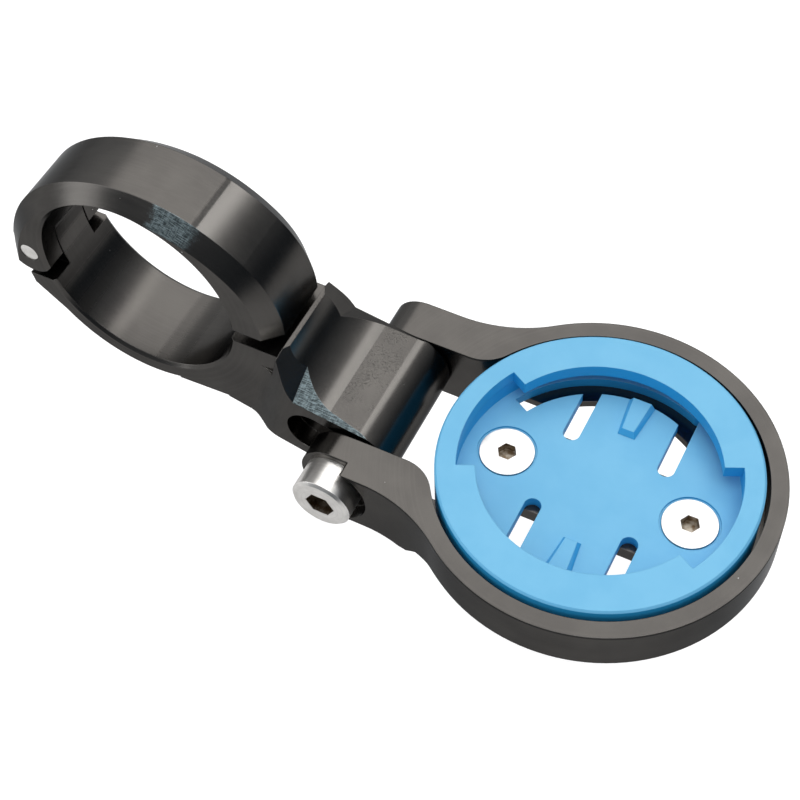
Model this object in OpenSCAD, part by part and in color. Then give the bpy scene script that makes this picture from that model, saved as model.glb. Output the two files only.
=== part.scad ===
// Bicycle computer mount: hinged bar clamp, tilting ring arm and quarter-turn insert.
// Millimetres. The origin is the centre of the handlebar bore, X forward, Y along the bar, Z up.

/* [Bar clamp] */
// Diameter of the handlebar that the clamp holds
bar_d = 31.8; // [31.5:0.1:32.2]
// Width of the clamp along the bar
clamp_w = 14.6; // [13.6:0.2:15.6]
// Wall of the lower half under the bar
base_wall = 2.5; // [2.2:0.1:3.2]
// Radius of the upper half's outer face
cap_r = 25.1; // [24.8:0.1:25.6]
// Radius of that face's tighter turn at the front
front_r = 16.1; // [15.6:0.1:16.6]
// How far the centre of that face lies below the bore's centre
cap_drop = 6.6; // [6.4:0.1:6.8]
// Bevel on both edges of the upper half
cap_bevel = 2.5; // [1.8:0.1:2.8]
// Open gap where the halves meet at the front
parting_gap = 2.5; // [1.8:0.1:3]
// Small bevel at both rims of the bore
bore_bevel = 0.5; // [0.3:0.1:0.7]

/* [Hinge] */
// Distance of the hinge pin behind the bore's centre
hinge_x = 18.5; // [18.3:0.1:19]
// Diameter of the hinge pin
hinge_pin_d = 3; // [2.6:0.1:3.2]
// Width of the lower half's middle knuckle
tongue_w = 6.6; // [6:0.2:7.4]
// Outer diameter of the knuckles
knuckle_d = 7.8; // [7.4:0.1:8]

/* [Neck] */
// Downward slope of the neck against the level ring
neck_pitch = 14; // [12:1:16]
// Width of the neck between the ears
neck_w = 19.4; // [19:0.1:19.6]
// Height of the neck and of its round end
neck_h = 13.2; // [12.4:0.2:13.6]
// Radius of the hollow sweep that leads down from the lip
scoop_r = 12; // [11:0.5:13]
// Height of the side pocket in the neck
pocket_h = 7.8; // [7:0.2:8.2]
// Depth of the side pocket
pocket_depth = 3; // [2:0.25:3.5]

/* [Ring arm] */
// Wall of the ring
ring_wall = 2.5; // [2.3:0.1:2.8]
// Height of the ring
ring_h = 7.1; // [7:0.1:7.6]
// Open gap between the neck's round end and the insert
rear_gap = 4.9; // [4.5:0.1:6]
// Thickness of an ear
ear_t = 6.4; // [6:0.1:6.8]
// Height of an ear
ear_h = 11.2; // [11:0.1:11.6]
// Thickness of the floor under the insert
floor_t = 1.2; // [1.1:0.1:1.4]
// Thickness of the bar under the floor that takes the insert's screws
bar_t = 2.2; // [2:0.1:2.6]

/* [Insert] */
// Height of the insert above the ring's top face
insert_proud = 1; // [0.6:0.1:1.4]
// Depth of the pocket, from the insert's top to its floor
socket_depth = 5.2; // [5:0.1:5.3]
// Radius of the two entry notches
notch_r = 20; // [19.8:0.1:20.4]
// How far the retaining edges reach inwards of the notches
lip_reach = 2.7; // [2.4:0.1:3]
// Wall of the insert outside the notches
rim_w = 3; // [2.8:0.1:3.4]
// Thickness of the retaining edge over the groove
edge_t = 2.2; // [1.8:0.1:2.6]
// Angle that each notch spans
notch_angle = 54; // [50:1:58]

/* [Screws] */
// Thread diameter of the pivot bolt
pivot_d = 5; // [4.8:0.1:5.2]
// Head diameter of the pivot bolt
pivot_head_d = 9.2; // [8.5:0.1:9.6]
// Thread diameter of the insert's screws
insert_screw_d = 4; // [3.5:0.1:4]
// Distance between the insert's screws
insert_screw_gap = 28; // [27:0.5:28.5]
// Thread diameter of the clamp's screw
clamp_screw_d = 4; // [3.5:0.1:4.5]

/* [Hidden] */
$fn = 96;
e = 0.01;

bore_r = bar_d / 2;
half = clamp_w / 2;
base_r = bore_r + base_wall;
knuckle_r = knuckle_d / 2;
tongue_half = tongue_w / 2;
side_gap = 0.25;
hinge_z = -0.8;
cap_c = [1.4, -cap_drop];
front_turn = 48;
front_c = cap_c + (cap_r - front_r) * [cos(front_turn), sin(front_turn)];
shoulder_z = -2.7;
cap_low_z = shoulder_z + parting_gap;
far = 100;

// The bolt's axis, and the ring's top face, which an ear's round end touches.
bolt = [35.5, -16.4];
ear_r = ear_h / 2;
ring_top = bolt[1] + ear_r;
neck_r = neck_h / 2;
neck_half = neck_w / 2;
ear_gap = 0.4;
ear_in = neck_half + ear_gap;
ear_out = ear_in + ear_t;
seat_depth = 2.4;
seat_y = ear_out - seat_depth;
pivot_head_h = pivot_d;
pivot_hole_r = pivot_d / 2 + 0.1;
thread_fit = 0.02;
flange_r = notch_r + rim_w;
ring_in = flange_r + 0.7;
ring_r = ring_in + ring_wall;
reach = bolt[0] + neck_r + rear_gap + flange_r;
lip_r = notch_r - lip_reach;
plate_half = 6.9;
window_r = lip_r - 1.3;
bar_end = -ring_in + 2.2;
rear_y = ear_in + 0.9;

insert_floor_z = insert_proud - socket_depth;
insert_bottom = -ring_h + floor_t;
screw_x = insert_screw_gap / 2;
tongue_x = 0.4;
slot_gap = 14.6;
slot_w = 2.5;
gap_in = lip_r - 1.1;
gap_out = notch_r - 1.1;
detent_in = lip_r - 7.6;
detent_out = gap_in - 0.3;
detent_h = 1;
screw_head_r = insert_screw_d;
head_sink = 0.1;
head_rim = 0.2;
head_cone = insert_screw_d / 2;
screw_len = insert_floor_z - head_sink - insert_bottom + bar_t - 0.2;
clamp_screw_x = 19.3;
clamp_screw_head_r = clamp_screw_d * 0.875;
clamp_screw_seat = shoulder_z - 8.4;
clamp_screw_tip = cap_low_z + 1.6;
clamp_screw_hole = 7;
hinge_clear = 0.3;
slot_rise = 2.6;

// The neck's own axes: its length runs along X from the bore's centre.
nb = [bolt[0] * cos(neck_pitch) - bolt[1] * sin(neck_pitch), bolt[0] * sin(neck_pitch) + bolt[1] * cos(neck_pitch)];
neck_top = nb[1] + neck_r;
neck_low = nb[1] - neck_r;
lip_x = 23.4;
lip_t = 0.7;
lip_z = 4.2;
scoop_end = lip_x + lip_t + sqrt(scoop_r * scoop_r - pow(scoop_r - lip_z + neck_top, 2));

function arc(c, r, a, b, n) = [for (i = [0 : n]) c + r * [cos(a + (b - a) * i / n), sin(a + (b - a) * i / n)]];
function mirror_y(p) = [for (i = [len(p) - 1 : -1 : 0]) [p[i][0], -p[i][1]]];

// A flat shape drawn in X and Z, made t thick and centred on Y.
module across(t, y = 0) {
  translate([0, y + t / 2, 0])
    rotate([90, 0, 0])
      linear_extrude(height = t)
        children();
}

// A round bar along Y from y0 to y1, with its centre at p.
module bar(p, r, y0, y1) {
  translate([p[0], y0, p[1]])
    rotate([-90, 0, 0])
      cylinder(r = r, h = y1 - y0);
}

module neck_axes() {
  rotate([0, neck_pitch, 0])
    children();
}

module ring_axes() {
  translate([reach, 0, ring_top])
    children();
}

// Bore with its bevelled rims.
module bore_cut() {
  bar([0, 0], bore_r, -half - 4, half + 4);
  for (s = [-1, 1])
    translate([0, s * (half - bore_bevel), 0])
      rotate([-90 * s, 0, 0])
        cylinder(r1 = bore_r, r2 = bore_r + 4, h = 4);
}

module hinge_point() {
  translate([-hinge_x, hinge_z])
    children();
}

// Outline of the lower half round the bar, without the neck.
module base_ring_2d() {
  difference() {
    union() {
      circle(r = base_r);
      polygon([[-19.4, -5.2], [-18.9, -7.6], [-base_r * cos(40), -base_r * sin(40)], [0, 0], [-10, -5.2]]);
      polygon([[5, -base_r + 0.4], [15.5, -17.4], [24, -19.4], [24, shoulder_z], [0, shoulder_z]]);
    }
    translate([-40, cap_low_z - parting_gap])
      square([80, 60]);
    translate([-40, -5.6])
      square([30, 30]);
  }
}

// Outline of the neck in its own axes: lip, hollow sweep, flat top and round end.
module neck_2d() {
  difference() {
    union() {
      translate([lip_x - 6, neck_low])
        square([nb[0] - lip_x + 6, neck_h]);
      translate([lip_x - 3, neck_top - 3])
        square([scoop_end - lip_x + 3, lip_z - neck_top + 3]);
      translate(nb)
        circle(r = neck_r);
    }
    translate([scoop_end, neck_top + scoop_r])
      circle(r = scoop_r);
    translate([scoop_end - 0.4, neck_top])
      square([20, 20]);
    translate([lip_x - 10, -1])
      square([10, 20]);
  }
}

// Outline of the neck seen from above: it widens from the clamp to the ears.
module neck_plan() {
  w0 = half;
  w1 = neck_half;
  x0 = 21.2;
  x1 = 27.4;
  s = [for (i = [0 : 12]) [x0 + (x1 - x0) * i / 12, w0 + (w1 - w0) * (1 - cos(180 * i / 12)) / 2]];
  p = concat([[-2, w0]], s, [[nb[0] + neck_r + 1, w1]]);
  polygon(concat(p, mirror_y(p)));
}

// Section of the neck across its length, with small bevels along its lower edges.
module neck_section() {
  k = 0.8;
  w = neck_half;
  rotate([90, 0, 90])
    linear_extrude(height = far)
      polygon([[w + e, lip_z + 1], [w + e, neck_low + k], [w - k, neck_low - e],
               [-w + k, neck_low - e], [-w - e, neck_low + k], [-w - e, lip_z + 1]]);
}

// Everything above the plane with the given outward direction, c away from the origin.
module above(n, c) {
  rotate([0, acos(n[2] / norm(n)), atan2(n[1], n[0])])
    translate([-far, -far, c])
      cube(2 * far);
}

module neck_pocket(s) {
  x0 = 31.8;
  y = s * (neck_half - pocket_depth / 2);
  across(pocket_depth + e, y) {
    translate([x0, nb[1]])
      circle(r = pocket_h / 2);
    translate([nb[0], nb[1]])
      circle(r = pocket_h / 2);
    translate([x0, nb[1] - pocket_h / 2])
      square([nb[0] - x0, pocket_h]);
  }
}

module clamp_base() {
  color([0.2, 0.2, 0.19])
    difference() {
      union() {
        across(clamp_w)
          base_ring_2d();
        neck_axes()
          intersection() {
            across(neck_w)
              neck_2d();
            translate([0, 0, -30])
              linear_extrude(height = 60)
                neck_plan();
            neck_section();
          }
        // Middle knuckle of the hinge.
        difference() {
          across(tongue_w)
            union() {
              hinge_point()
                circle(r = knuckle_r);
              polygon([[-hinge_x - knuckle_r, hinge_z], [-19.4, -5.6], [-14, -5.6], [-hinge_x + knuckle_r, hinge_z]]);
            }
        }
      }
      bore_cut();
      bar([-hinge_x, hinge_z], hinge_pin_d / 2, -half, half);
      // Room for the upper half's two knuckles.
      for (s = [-1, 1])
        across(half, s * (tongue_half + half / 2))
          hinge_point()
            circle(r = knuckle_r + hinge_clear + 0.5);
      bar(bolt, pivot_hole_r, -far, far);
      neck_axes()
        for (s = [-1, 1])
          neck_pocket(s);
      // Clamp screw's hole and the seat of its head, from below.
      translate([clamp_screw_x, 0, clamp_screw_seat - far])
        cylinder(r = clamp_screw_d / 2 + 0.25, h = 2 * far, $fn = 48);
      translate([clamp_screw_x, 0, clamp_screw_seat - far])
        cylinder(r = clamp_screw_head_r + 0.3, h = far, $fn = 48);
      // Facets that run from the clamp's width to the neck's.
      neck_axes()
        for (k = [0, 1])
          mirror([0, k, 0])
            intersection() {
              above([-3.6, 28.9, 42.65], 1.9);
              above([13.29, 7.63, 13.92], 20.2);
            }
    }
}

// Bevelled disc about a point in X and Z.
module bevelled_disc(c, r) {
  translate([c[0], 0, c[1]])
    rotate([-90, 0, 0])
      rotate_extrude($fn = 144)
        polygon([[0, -half], [r - cap_bevel, -half], [r, -half + cap_bevel], [r, half - cap_bevel],
                 [r - cap_bevel, half], [0, half]]);
}

// Outer faces of the upper half: one wide arc that turns tighter at the front.
module cap_disc() {
  d = [cos(front_turn), sin(front_turn)];
  difference() {
    bevelled_disc(cap_c, cap_r);
    across(far)
      polygon([cap_c, cap_c + far * d, [far, -far], [cap_c[0], -far]]);
  }
  intersection() {
    bevelled_disc(front_c, front_r);
    across(far)
      polygon([cap_c, cap_c + far * d, [far, -far], [cap_c[0], -far]]);
  }
}

module clamp_cap() {
  color([0.24, 0.24, 0.23])
    difference() {
      union() {
        intersection() {
          cap_disc();
          across(clamp_w)
            difference() {
              translate([-far / 2, hinge_z])
                square(far);
              // The front end stops at the parting gap.
              translate([0, cap_low_z - far])
                square(far);
            }
        }
        // The knuckles keep the bevel of the outer face.
        intersection() {
          cap_disc();
          across(clamp_w)
            hinge_point()
              circle(r = knuckle_r);
        }
      }
      bore_cut();
      bar([-hinge_x, hinge_z], hinge_pin_d / 2 + 0.05, -half - 1, half + 1);
      // Slot for the lower half's middle knuckle, open to the rear so that the cap swings past it.
      across(tongue_w + 2 * side_gap) {
        hinge_point()
          circle(r = knuckle_r + hinge_clear);
        translate([-hinge_x - knuckle_d, hinge_z - knuckle_d])
          square([knuckle_d, knuckle_d + slot_rise]);
      }
      // Threaded hole for the clamp's screw.
      translate([clamp_screw_x, 0, cap_low_z - 1])
        cylinder(r = clamp_screw_d / 2 + 0.1, h = clamp_screw_hole + 1, $fn = 48);
    }
}

module hinge_pin() {
  color([0.75, 0.75, 0.74])
    bar([-hinge_x, hinge_z], hinge_pin_d / 2, -half + 0.1, half - 0.1);
}

// Hexagonal recess, w across its flats.
module hex_cut(w, h) {
  cylinder(r = w / 2 / cos(30), h = h, $fn = 6);
}

module clamp_screw() {
  tip = clamp_screw_tip;
  seat = clamp_screw_seat;
  color([0.6, 0.6, 0.6])
    translate([clamp_screw_x, 0, 0])
      difference() {
        rotate_extrude($fn = 48)
          polygon([[0, seat - clamp_screw_d], [clamp_screw_head_r, seat - clamp_screw_d], [clamp_screw_head_r, seat],
                   [clamp_screw_d / 2, seat], [clamp_screw_d / 2, tip], [0, tip]]);
        translate([0, 0, seat - clamp_screw_d - e])
          hex_cut(clamp_screw_d * 0.75, 2.2);
      }
}

// Centre and radius of the sweep from an ear's outer face into the ring.
sweep_x = -ring_r - 2.8;
sweep_r = (pow(sweep_x, 2) - (ring_r * ring_r - ear_out * ear_out)) / (2 * (ring_r - ear_out));
sweep_c = [sweep_x, ear_out + sweep_r];
sweep_end = sweep_c * ring_r / norm(sweep_c);
// Centre of the rounded corner between an ear's inner face and the ring's bore.
corner_r = 6;
corner_c = [-sqrt(pow(ring_in + corner_r, 2) - pow(ear_in + corner_r, 2)), ear_in + corner_r];

// Half of the ring arm seen from above, with the ear at positive Y.
module arm_half() {
  difference() {
    union() {
      intersection() {
        circle(r = ring_r);
        polygon([[0, 0], [far, 0], [far, far], [-far, far], [-far, ear_in], [-ear_in, ear_in]]);
      }
      polygon([[-far, ear_in], [-window_r, ear_in], sweep_end, [sweep_x, ear_out], [-far, ear_out]]);
    }
    circle(r = ring_in);
    translate(sweep_c)
      circle(r = sweep_r);
    difference() {
      polygon([corner_c, [corner_c[0], ear_in - 1], [-window_r - 2, ear_in - 1],
               corner_c * (ring_in - 1) / norm(corner_c)]);
      translate(corner_c)
        circle(r = corner_r);
    }
  }
}

module arm_plan() {
  arm_half();
  mirror([0, 1])
    arm_half();
}

// Floor with a window on each side of the bar. It is open at the rear, between the ears.
module arm_floor() {
  difference() {
    circle(r = ring_in + 1);
    for (k = [0, 1])
      mirror([0, k])
        intersection() {
          union() {
            circle(r = window_r);
            translate([-far - window_r / 2, 0])
              square([far, rear_y]);
          }
          translate([-far / 2, plate_half])
            square([far, far]);
        }
    translate([bar_end - far, -rear_y])
      square([far, 2 * rear_y]);
  }
}

// Side outline of the ring arm: ear with its round end, and the ring's lower height.
module arm_side() {
  bx = bolt[0] - reach;
  bz = -ear_r;
  k = [[bx, 0], [ring_r + 1, 0], [ring_r + 1, -ring_h], [-ring_in + 9.7, -ring_h],
       [-ring_in + 6.7, -ring_h - 0.3], [-ring_in + 4.1, -ring_h - 1.4],
       [-ring_in + 2.1, -ear_h + 0.5], [-ring_in + 0.7, -ear_h], [bx, -ear_h]];
  polygon(k);
  translate([bx, bz])
    circle(r = ear_r);
}

module ring_arm() {
  bx = bolt[0] - reach;
  color([0.22, 0.22, 0.21])
    ring_axes()
      difference() {
        union() {
          intersection() {
            translate([0, 0, -far / 2])
              linear_extrude(height = far)
                arm_plan();
            across(far)
              arm_side();
          }
          // Floor that carries the insert, and the bar under it that takes the screws.
          translate([0, 0, -ring_h])
            linear_extrude(height = floor_t)
              arm_floor();
          translate([0, 0, insert_bottom - bar_t])
            linear_extrude(height = bar_t)
              intersection() {
                circle(r = ring_in - 1);
                translate([bar_end, -plate_half])
                  square([far, 2 * plate_half]);
              }
        }
        // Seat of the pivot bolt's head, its hole and the thread in the far ear.
        bar([bx, -ear_r], 6, -ear_out - 3, -seat_y);
        bar([bx, -ear_r], pivot_hole_r, -30, 0);
        bar([bx, -ear_r], pivot_d / 2 + thread_fit, 0, 30);
        // Threaded holes of the insert's screws.
        for (s = [-1, 1])
          translate([s * screw_x, 0, 0]) {
            translate([0, 0, insert_bottom - bar_t - 1])
              cylinder(r = insert_screw_d / 2 + thread_fit, h = 6, $fn = 48);
            translate([0, 0, insert_bottom - 0.9])
              cylinder(r1 = insert_screw_d / 2, r2 = insert_screw_d / 2 + 1.2, h = 1.2, $fn = 48);
          }
      }
}

// Sector of the given radius between two angles, up to half a turn.
module sector(r, a, b) {
  m = (a + b) / 2;
  intersection() {
    circle(r = r);
    polygon([[0, 0], 2 * r * [cos(a), sin(a)], 3 * r * [cos(m), sin(m)], 2 * r * [cos(b), sin(b)]]);
  }
}

// Slot with a round inner end, open outwards along Y.
module insert_slot(x, w, y0, y1) {
  translate([x, y0])
    circle(d = w, $fn = 32);
  translate([x - w / 2, y0])
    square([w, y1 - y0]);
}

module insert_body() {
  g = insert_proud - edge_t;
  difference() {
    rotate_extrude()
      polygon([[0, insert_bottom], [flange_r, insert_bottom], [flange_r, insert_proud - 0.3],
               [flange_r - 0.3, insert_proud], [0, insert_proud]]);
    // Round opening and its two entry notches.
    translate([0, 0, g - 0.5])
      linear_extrude(height = far) {
        circle(r = lip_r);
        for (a = [0, 180])
          rotate(a - 2)
            sector(notch_r, -notch_angle / 2, notch_angle / 2);
      }
    // Groove under the retaining edges.
    translate([0, 0, insert_floor_z])
      cylinder(r = notch_r + 0.25, h = g - insert_floor_z);
  }
}

module insert() {
  t = insert_floor_z - insert_bottom + 2;
  color([0.25, 0.62, 0.9])
    ring_axes() {
      difference() {
        insert_body();
        // Slots that free the two sprung tongues, and the gap round their ends.
        for (k = [0, 1])
          mirror([0, k, 0])
            translate([0, 0, insert_bottom - 1])
              linear_extrude(height = t) {
                insert_slot(tongue_x - slot_gap / 2, slot_w, plate_half, lip_r - 0.3);
                insert_slot(tongue_x + slot_gap / 2, slot_w, plate_half, lip_r - 0.3);
                difference() {
                  sector(gap_out, 62, k == 0 ? 152 : 140);
                  circle(r = gap_in);
                }
              }
        // Seats of the two countersunk screws.
        for (s = [-1, 1])
          translate([s * screw_x, 0, 0]) {
            translate([0, 0, insert_floor_z - head_sink - head_rim])
              cylinder(r = screw_head_r + 0.35, h = 2, $fn = 64);
            translate([0, 0, insert_bottom - 1])
              cylinder(r = insert_screw_d / 2 + 0.2, h = 10, $fn = 48);
            translate([0, 0, insert_floor_z - head_sink - head_rim - head_cone])
              cylinder(r1 = insert_screw_d / 2 + 0.15, r2 = screw_head_r + 0.15, h = head_cone + e, $fn = 64);
          }
      }
      // Detent bumps on the tongues.
      for (k = [0, 1])
        mirror([0, k, 0])
          translate([tongue_x, 0, insert_floor_z - 0.2])
            hull() {
              linear_extrude(height = 0.3)
                polygon([[-1.3, detent_in], [1.3, detent_in], [2, detent_out], [-2, detent_out]]);
              linear_extrude(height = 0.2 + detent_h)
                polygon([[-0.9, detent_in + 0.5], [0.9, detent_in + 0.5], [1.4, detent_out], [-1.4, detent_out]]);
            }
    }
}

module insert_screws() {
  color([0.85, 0.85, 0.84])
    ring_axes()
      for (s = [-1, 1])
        translate([s * screw_x, 0, insert_floor_z - head_sink])
          difference() {
            rotate_extrude($fn = 64)
              polygon([[0, -screw_len], [insert_screw_d / 2, -screw_len], [insert_screw_d / 2, -head_rim - head_cone],
                       [screw_head_r, -head_rim], [screw_head_r, 0], [0, 0]]);
            translate([0, 0, -1.4])
              hex_cut(insert_screw_d * 0.625, 2);
          }
}

module pivot_bolt() {
  color([0.82, 0.82, 0.8])
    translate([bolt[0], 0, bolt[1]])
      rotate([90, 0, 0])
        difference() {
          rotate_extrude()
            polygon([[0, -ear_out + 0.5], [pivot_d / 2, -ear_out + 0.5], [pivot_d / 2, seat_y],
                     [pivot_head_d / 2, seat_y], [pivot_head_d / 2, seat_y + pivot_head_h - 0.4],
                     [pivot_head_d / 2 - 0.4, seat_y + pivot_head_h], [0, seat_y + pivot_head_h]]);
          translate([0, 0, seat_y + pivot_head_h - 2.6])
            hex_cut(pivot_d * 0.8, 4);
        }
}

clamp_base();
clamp_cap();
hinge_pin();
clamp_screw();
ring_arm();
insert();
insert_screws();
pivot_bolt();
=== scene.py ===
import math

import bpy
from mathutils import Matrix, Vector

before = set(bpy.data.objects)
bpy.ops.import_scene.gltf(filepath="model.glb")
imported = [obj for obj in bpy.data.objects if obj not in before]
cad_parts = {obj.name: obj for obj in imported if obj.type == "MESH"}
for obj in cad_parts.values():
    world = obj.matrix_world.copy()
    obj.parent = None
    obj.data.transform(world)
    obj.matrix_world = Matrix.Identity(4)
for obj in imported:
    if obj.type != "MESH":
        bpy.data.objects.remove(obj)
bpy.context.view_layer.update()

MM = 0.001

# Places in the part are in millimetres from the handlebar's axis, and angles in degrees.
# The ring's centre on its top face, and the middle of the pivot bolt's axis.
RING = (70.0, 0.0, -10.8)
PIVOT = (35.5, 0.0, -16.4)

BORE_R = 15.9
NECK_START = 24.0
NECK_PITCH = 14.0
# The direction that the facet between the clamp and the neck faces, and its cross direction in y and z.
FACET = (0.132, 0.56, 0.818)
FACET_ACROSS = (0.82, -0.57)

# The upper half: centre of its outer face's arc, half the width of that face, and its near bevel.
CAP = (1.4, 0.0, -6.6)
CAP_FACE_HALF = 4.85
CAP_BEVEL_Y = (-4.78, -7.27)
CAP_BEVEL_R = 22.5
# The stretch of that bevel that is hatched, and where the crease lies.
CAP_MARKS = (9.0, 24.0)
CREASE = 23.4

# The hexagons' outer radius, and where they lie in the bolt's head and in the insert's screws.
BOLT_RECESS_R = 2.36
BOLT_RECESS_Y = (-19.0, -15.0)
SCREW_RECESS_R = 1.48
SCREW_RECESS_Z = -4.35
SCREW_OUT = 14.0

# The photograph's width and the focal length that fits it, in pixels.
PHOTO_PX = 800.0
FOCAL_PX = 1662.0

# How far the ring reaches below the pivot when the arm is tilted down, in metres. The floor lies there.
ARM_SWEEP = 0.042


class Value:
    """A number that changes over a surface. Arithmetic on it adds Math nodes."""

    def __init__(self, paint, socket):
        self.paint = paint
        self.socket = socket

    def math(self, operation, *others):
        return self.paint.node("Math", {"operation": operation}, [self, *others])

    def __add__(self, other):
        return self.math("ADD", other)

    def __radd__(self, other):
        return self.math("ADD", other)

    def __sub__(self, other):
        return self.math("SUBTRACT", other)

    def __rsub__(self, other):
        return self.paint.node("Math", {"operation": "SUBTRACT"}, [other, self])

    def __mul__(self, other):
        return self.math("MULTIPLY", other)

    def __rmul__(self, other):
        return self.math("MULTIPLY", other)

    def __abs__(self):
        return self.math("ABSOLUTE")

    def above(self, edge, soft):
        """0 below the edge and 1 above it, with a soft step."""
        return self.span(edge - soft, edge + soft)

    def below(self, edge, soft):
        return self.span(edge + soft, edge - soft)

    def span(self, low, high):
        """0 at low and 1 at high, clamped, either way round."""
        settings = {"interpolation_type": "SMOOTHSTEP"}
        return self.paint.node("MapRange", settings, {"Value": self, "From Min": low, "From Max": high})


def distance(a, b):
    return (a * a + b * b).math("SQRT")


def bearing(a, b):
    """The angle from b's axis towards a's, in degrees."""
    return a.math("ARCTAN2", b) * (180.0 / math.pi)


class Paint:
    """One material, with its shader and one method that makes any other node."""

    def __init__(self, name, **constants):
        self.material = bpy.data.materials.new(name)
        self.material.use_nodes = True
        self.tree = self.material.node_tree
        self.shader = self.tree.nodes["Principled BSDF"]
        self.surface(**constants)

    def link(self, target, value):
        if isinstance(value, Value):
            value = value.socket
        if isinstance(value, bpy.types.NodeSocket):
            self.tree.links.new(value, target)
        else:
            target.default_value = value

    def node(self, kind, settings=None, inputs=None, out=0):
        node = self.tree.nodes.new("ShaderNode" + kind)
        for key, value in (settings or {}).items():
            setattr(node, key, value)
        pairs = inputs.items() if isinstance(inputs, dict) else enumerate(inputs or [])
        for key, value in pairs:
            self.link(node.inputs[key], value)
        return Value(self, node.outputs[out])

    def split(self, vector):
        node = self.tree.nodes.new("ShaderNodeSeparateXYZ")
        self.link(node.inputs[0], vector)
        return [Value(self, socket) for socket in node.outputs]

    def place(self):
        """Object coordinates in millimetres, as three values."""
        spot = self.node("TexCoord", out="Object")
        return self.split(self.node("VectorMath", {"operation": "SCALE"}, {0: spot, "Scale": 1000.0}))

    def facing(self):
        """The surface's own direction, as three values."""
        return self.split(self.node("TexCoord", out="Normal"))

    def point(self, x, y, z):
        return self.node("CombineXYZ", inputs=[x, y, z])

    def noise(self, where, scale, detail=3.0, rough=0.55):
        inputs = {"Vector": where, "Scale": scale, "Detail": detail, "Roughness": rough}
        return self.node("TexNoise", inputs=inputs, out="Fac")

    def mix(self, factor, a, b):
        node = self.tree.nodes.new("ShaderNodeMix")
        node.data_type = "RGBA"
        self.link(node.inputs["Factor"], factor)
        self.link(node.inputs["A"], a)
        self.link(node.inputs["B"], b)
        return Value(self, node.outputs["Result"])

    def bump(self, height, depth_mm, normal):
        inputs = {"Height": height, "Distance": depth_mm * MM, "Strength": 1.0, "Normal": normal}
        return self.node("Bump", inputs=inputs, out="Normal")

    def soft_edges(self, radius_mm):
        """Rounds every sharp edge in the shading, as tumbling or moulding does."""
        return self.node("Bevel", {"samples": 6}, {"Radius": radius_mm * MM}, out="Normal")

    def surface(self, **sockets):
        for socket, value in sockets.items():
            self.link(self.shader.inputs[socket.replace("_", " ")], value)
        return self.material


class Sky(Paint):
    """The surroundings, painted by direction."""

    def __init__(self):
        world = bpy.data.worlds.new("surrounding")
        world.use_nodes = True
        bpy.context.scene.world = world
        self.tree = world.node_tree
        self.shader = self.tree.nodes["Background"]

    def directions(self):
        return self.split(self.node("TexCoord", out="Generated"))

    def colour(self, value):
        self.link(self.shader.inputs["Color"], value)


def dust(paint, where, spacing, size, share):
    """Sparse specks of dust: tiny dots in a share of the cells."""
    cell = paint.tree.nodes.new("ShaderNodeTexVoronoi")
    paint.link(cell.inputs["Vector"], where)
    paint.link(cell.inputs["Scale"], 1.0 / spacing)
    near = Value(paint, cell.outputs["Distance"])
    pick = paint.node("SeparateColor", inputs=[cell.outputs["Color"]])
    return near.below(size, size * 0.4) * pick.above(1.0 - share, 0.001)


def black_metal(name, lay, worked=None, marks_and_painted_light=None):
    """Black anodised aluminium. lay gives the point that the cutter's marks follow.

    worked gives the share of a place that a coarse cutter left bright and hatched, and the place
    along and across its strokes.
    The fourth argument gives a dark and a light share: the light share is a painted highlight, and the dark
    share is painted shade, except on the clamp's base, where it is grain on the neck's top and bands in the
    bore.
    """
    paint = Paint(name, Metallic=1.0, Specular_Tint=(0.45, 0.46, 0.47, 1))
    x, y, z = paint.place()
    where = paint.point(x, y, z)
    marks = paint.noise(lay(paint, x, y, z), 1.0, 2.0, 0.6)
    cloud = paint.noise(where, 0.12, 3.0)
    grain = paint.noise(where, 9.0, 2.0, 0.7)
    specks = dust(paint, where, 2.6, 0.035, 0.14)
    tone = paint.mix(cloud.span(0.3, 0.7), (0.084, 0.08, 0.076, 1), (0.104, 0.099, 0.093, 1))
    tone = paint.mix(marks.span(0.35, 0.75) * 0.3, tone, (0.13, 0.124, 0.118, 1))
    rough = 0.16 + cloud * 0.05 + marks * 0.05 + grain * 0.03 + specks * 0.4
    height = marks * 0.3 + grain * 0.35
    if marks_and_painted_light:
        dark, light = marks_and_painted_light(paint, x, y, z)
        # Painted highlight from the light share.
        tone = paint.mix(light * 0.6, tone, (0.2, 0.193, 0.185, 1))
        # The dark share: painted shade on the arm's edge and along the cap's crease, grain and cutter bands
        # on the clamp's base.
        tone = paint.mix(dark * 0.6, tone, (0.02, 0.02, 0.02, 1))
        rough = rough + dark * 0.2
        height = height + dark * grain * 2.0
    if worked:
        share, along, cross = worked(paint, x, y, z)
        first = paint.noise(paint.point(along * 0.9, cross * 7.0, 0.0), 1.0, 2.0, 0.65)
        second = paint.noise(paint.point(along * 4.5, cross * 0.7, 3.0), 1.0, 2.0, 0.6)
        hatch = (first.span(0.42, 0.62) * 0.75 + second.span(0.45, 0.65) * 0.35) * share
        tone = paint.mix(share * 0.8, tone, (0.05, 0.068, 0.075, 1))
        tone = paint.mix(hatch.math("MINIMUM", 1.0), tone, (0.27, 0.34, 0.36, 1))
        rough = rough + share * 0.22
        height = height + hatch * 1.2
    tone = paint.mix(specks, tone, (0.75, 0.75, 0.75, 1))
    normal = paint.bump(height, 0.006, paint.soft_edges(0.16))
    return paint.surface(Base_Color=tone, Roughness=rough, Normal=normal)


def neck_flank(paint, x, y, z):
    """The near facet between the clamp's width and the neck's."""
    east, north, up = paint.facing()
    likeness = east * FACET[0] + abs(north) * FACET[1] + up * FACET[2]
    share = likeness.above(0.992, 0.004) * y.below(0.0, 0.5)
    return share, x, abs(y) * FACET_ACROSS[0] + z * FACET_ACROSS[1]


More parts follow.
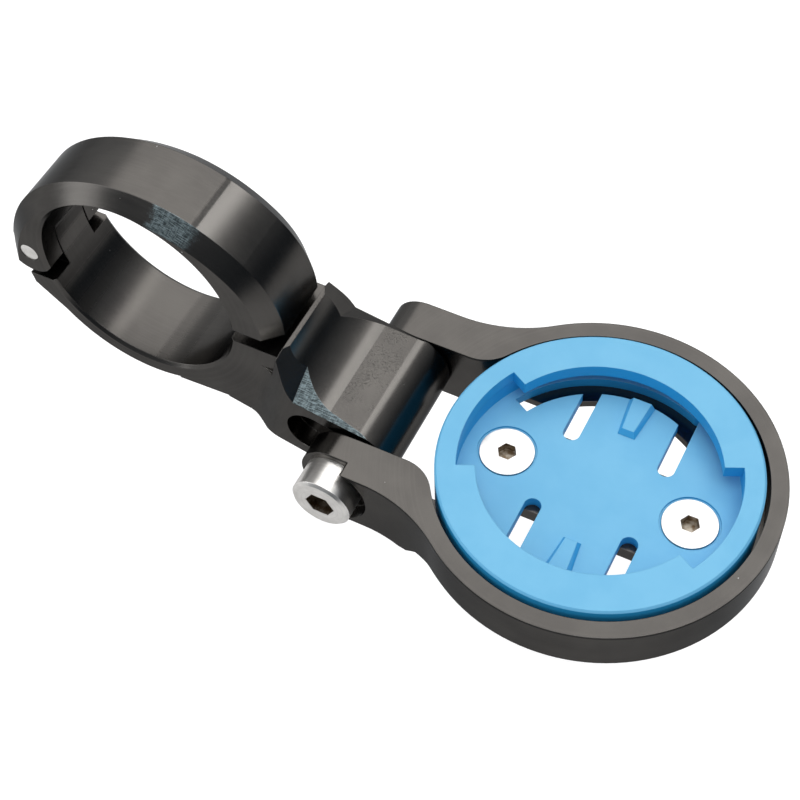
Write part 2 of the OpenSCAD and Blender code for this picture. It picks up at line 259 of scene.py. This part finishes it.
def neck_top(paint, x, y, z):
    """The neck's flat top is grainy, the curves beside it get a painted highlight, and the bore is banded.
    """
    east, _, up = paint.facing()
    likeness = east * math.sin(math.radians(NECK_PITCH)) + up * math.cos(math.radians(NECK_PITCH))
    # Within 2 degrees of the top's own direction, and within 10.
    flat = likeness.above(0.9993, 0.0003)
    beside = likeness.above(0.985, 0.006) * (1.0 - flat)
    place = paint.point(x, y, z)
    patches = paint.noise(place, 0.25, 2.0).span(0.35, 0.6)
    grain = paint.noise(place, 3.2, 4.0, 0.8).span(0.48, 0.66) * patches
    neck = x.above(NECK_START, 0.3)
    # Bands along the bore, where the cutter changed its step.
    bore = distance(x, z).below(BORE_R + 0.2, 0.1)
    bands = paint.noise(paint.point(bearing(x, z) * 0.07, 0.3, 0.0), 1.0, 0.5).span(0.48, 0.66)
    # The light share is a painted highlight on the curves beside the flat top.
    return flat * grain * neck * 0.75 + bands * bore * 0.45, beside * neck * 0.6


def painted_ring_edge_shade(paint, x, y, z):
    """A line of painted shade along the arm's upper edges, where the bevel turns away from the light."""
    up = paint.facing()[2]
    return up.below(0.5, 0.2) * z.above(RING[2] - 0.42, 0.05) * 0.9, 0.0


def cap_crease(paint, x, y, z):
    """A ragged line of painted shade along the crease in the upper half's outer face, and a band of painted
    highlight just past it.
    """
    turn = bearing(x - CAP[0], z - CAP[2])
    ragged = paint.noise(paint.point(y * 2.5, 0.0, 0.0), 1.0, 2.0) * 0.8
    outer = abs(y).below(CAP_FACE_HALF, 0.06)
    dashes = paint.noise(paint.point(turn * 0.8, y * 6.0, 0.0), 1.0, 2.0).span(0.3, 0.6)
    line = abs(turn + ragged - CREASE + 0.4).below(0.9, 0.5) * (dashes * 0.5 + 0.5)
    # The first share is the painted shade line, the second the painted highlight band.
    return line * outer, turn.above(CREASE, 0.3) * turn.below(CREASE + 8.0, 5.0) * outer


def cap_bevel(paint, x, y, z):
    """A stretch of the upper half's near bevel."""
    dx = x - CAP[0]
    dz = z - CAP[2]
    turn = bearing(dx, dz)
    ragged = paint.noise(paint.point(x, y, z), 1.1, 3.0) * 6.0
    stretch = (turn + ragged).above(CAP_MARKS[0] + 3.0, 1.5) * (turn - ragged).below(CAP_MARKS[1] - 3.0, 2.5)
    bevel = y.below(CAP_BEVEL_Y[0], 0.06) * y.above(CAP_BEVEL_Y[1], 0.03)
    return bevel * distance(dx, dz).above(CAP_BEVEL_R, 0.2) * stretch, turn * 0.42, y * 1.3


def round_ring(paint, x, y, z):
    """Marks that run round the ring's axis."""
    return paint.point(distance(x - RING[0], y) * 3.0, z * 5.0, 0.0)


def round_bar(paint, x, y, z):
    """Marks that run round the handlebar."""
    return paint.point(distance(x, z) * 2.0, y * 4.0, 0.0)


def round_bolt(paint, x, y, z):
    """Marks that run round the pivot bolt."""
    return paint.point(distance(x - PIVOT[0], z - PIVOT[2]) * 6.0, y * 6.0, 0.0)


def across_heads(paint, x, y, z):
    return paint.point(x * 8.0, y * 8.0, z * 8.0)


def steel(name, lay, recess=None):
    """Turned stainless steel. recess gives the share of a place that lies inside a hexagon."""
    paint = Paint(name, Metallic=1.0)
    x, y, z = paint.place()
    where = paint.point(x, y, z)
    marks = paint.noise(lay(paint, x, y, z), 1.0, 2.0, 0.6)
    cloud = paint.noise(where, 0.5, 3.0)
    tone = paint.mix(cloud.span(0.35, 0.7), (0.86, 0.845, 0.82, 1), (0.74, 0.725, 0.7, 1))
    tone = paint.mix(marks.span(0.5, 0.8) * 0.5, tone, (0.58, 0.565, 0.54, 1))
    rough = 0.2 + cloud * 0.12 + marks * 0.12
    if recess:
        inside = recess(x, y, z)
        # The inside of each hexagon is darker and brownish, mottled.
        hex_mottle = paint.noise(where, 0.9, 3.0).span(0.35, 0.65)
        tone = paint.mix(inside, tone, paint.mix(hex_mottle, (0.16, 0.11, 0.065, 1), (0.42, 0.38, 0.32, 1)))
        rough = rough + inside * 0.1
    normal = paint.bump(marks, 0.004, paint.soft_edges(0.12))
    return paint.surface(Base_Color=tone, Roughness=rough, Normal=normal)


def bolt_recess(x, y, z):
    radius = distance(x - PIVOT[0], z - PIVOT[2])
    depth = y.above(BOLT_RECESS_Y[0], 0.05) * y.below(BOLT_RECESS_Y[1], 0.1)
    return radius.below(BOLT_RECESS_R, 0.02) * depth


def screw_recess(x, y, z):
    radius = distance(abs(x - RING[0]) - SCREW_OUT, y)
    return radius.below(SCREW_RECESS_R, 0.02) * z.below(RING[2] + SCREW_RECESS_Z, 0.03)


def blue_plastic():
    """Moulded blue plastic, with a painted shade and a painted glow of light through it, a deeper blue, on
    its upright walls.
    """
    paint = Paint("blue_plastic", Specular_IOR_Level=0.25)
    x, y, z = paint.place()
    where = paint.point(x, y, z)
    cloud = paint.noise(where, 0.15, 3.0)
    grain = paint.noise(where, 7.0, 3.0, 0.6)
    wall_shade_and_glow = paint.facing()[2].below(0.6, 0.3)
    tone = paint.mix(cloud.span(0.3, 0.7), (0.158, 0.47, 0.725, 1), (0.18, 0.5, 0.75, 1))
    # The upright walls get a painted shade and glow: a deeper, more saturated blue.
    tone = paint.mix(wall_shade_and_glow * 0.85, tone, (0.0, 0.33, 0.72, 1))
    rough = 0.38 + grain * 0.12
    normal = paint.bump(grain, 0.006, paint.soft_edges(0.18))
    return paint.surface(Base_Color=tone, Roughness=rough, Normal=normal)


def dress(node, material):
    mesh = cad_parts[node].data
    mesh.materials.clear()
    mesh.materials.append(material)


def look_from_photo():
    """The camera that the photograph's ellipses and parallel edges give."""
    data = bpy.data.cameras.new("camera")
    data.sensor_width = 36.0
    data.lens = 36.0 * FOCAL_PX / PHOTO_PX
    data.clip_start = 0.01
    camera = bpy.data.objects.new("camera", data)
    right = Vector((0.89153336, 0.4518975, -0.03093415))
    down = Vector((0.3509367, -0.73230035, -0.58359201))
    ahead = Vector((-0.28637685, 0.50943581, -0.81145761))
    turn = Matrix((right, -down, -ahead)).transposed().to_4x4()
    camera.matrix_world = Matrix.Translation((0.10817207, -0.12341064, 0.18378891)) @ turn
    bpy.context.scene.collection.objects.link(camera)
    bpy.context.scene.camera = camera


def softbox(name, place, aim, size, watts, colour=(1, 1, 1)):
    data = bpy.data.lights.new(name, "AREA")
    data.shape = "RECTANGLE"
    data.size = size[0]
    data.size_y = size[1]
    data.energy = watts
    data.color = colour
    lamp = bpy.data.objects.new(name, data)
    lamp.location = place
    lamp.rotation_euler = (Vector(aim) - Vector(place)).to_track_quat("-Z", "Y").to_euler()
    bpy.context.scene.collection.objects.link(lamp)


def white_floor():
    """A floor that glows white to the camera and dimly to the metal, and is grey to the light."""
    bpy.ops.mesh.primitive_plane_add(size=8, location=(0.04, 0, PIVOT[2] * MM - ARM_SWEEP))
    floor = bpy.context.object
    floor.name = "floor"
    paint = Paint("floor_white", Roughness=0.9, Specular_IOR_Level=0.1)
    seen = paint.node("LightPath", out="Is Camera Ray") + paint.node("LightPath", out="Is Transmission Ray")
    seen = (seen + paint.node("LightPath", out="Is Glossy Ray") * 0.3).math("MINIMUM", 1.0)
    glow = paint.mix(seen, (0, 0, 0, 1), (1, 1, 1, 1))
    paint.surface(Base_Color=(0.45, 0.45, 0.45, 1), Emission_Color=glow, Emission_Strength=0.76)
    floor.data.materials.append(paint.material)


def pale_room():
    """White to the camera and even to the light. Reflections see a pale room with a dark end and side."""
    sky = Sky()
    east, north, up = sky.directions()
    # The end beyond the ring, +X, is dark.
    pale = (up * 0.9 - east * 0.75).span(-0.55, 0.75)
    # So is the side that the bolt's head faces, -Y, up to about 38 degrees above level.
    pale = pale * (1.0 - north.below(-0.55, 0.12) * up.below(0.62, 0.12) * 0.8)
    room = sky.mix(pale, (0.04, 0.052, 0.066, 1), (0.72, 0.73, 0.74, 1))
    room = sky.mix(sky.node("LightPath", out="Is Diffuse Ray"), room, (0.5, 0.5, 0.51, 1))
    seen = sky.node("LightPath", out="Is Camera Ray") + sky.node("LightPath", out="Is Transmission Ray")
    sky.colour(sky.mix(seen.math("MINIMUM", 1.0), room, (1, 1, 1, 1)))


def soft_boxes():
    centre = (0.04, 0, 0)
    softbox("rear_softbox", (-0.15, 0.38, 0.5), centre, (0.6, 0.45), 1.0, (1, 0.97, 0.94))
    softbox("strip_softbox", (0.2, 0.3, 0.48), centre, (0.1, 0.5), 0.36, (1, 0.98, 0.95))
    softbox("left_softbox", (-0.5, -0.2, 0.3), centre, (0.4, 0.5), 1.0)
    softbox("top_softbox", (0.15, -0.1, 0.6), centre, (0.5, 0.5), 1.6)


dress("clamp_base", black_metal("base_metal", round_bar, worked=neck_flank, marks_and_painted_light=neck_top))
dress("clamp_cap", black_metal("cap_metal", round_bar, worked=cap_bevel, marks_and_painted_light=cap_crease))
dress("ring_arm", black_metal("arm_metal", round_ring, marks_and_painted_light=painted_ring_edge_shade))
dress("insert", blue_plastic())
dress("insert_screws", steel("screw_steel", across_heads, screw_recess))
dress("pivot_bolt", steel("bolt_steel", round_bolt, bolt_recess))
dress("hinge_pin", steel("pin_steel", across_heads))
dress("clamp_screw", steel("clamp_screw_steel", across_heads))
look_from_photo()
white_floor()
pale_room()
soft_boxes()
bpy.context.scene.view_settings.view_transform = "Standard"
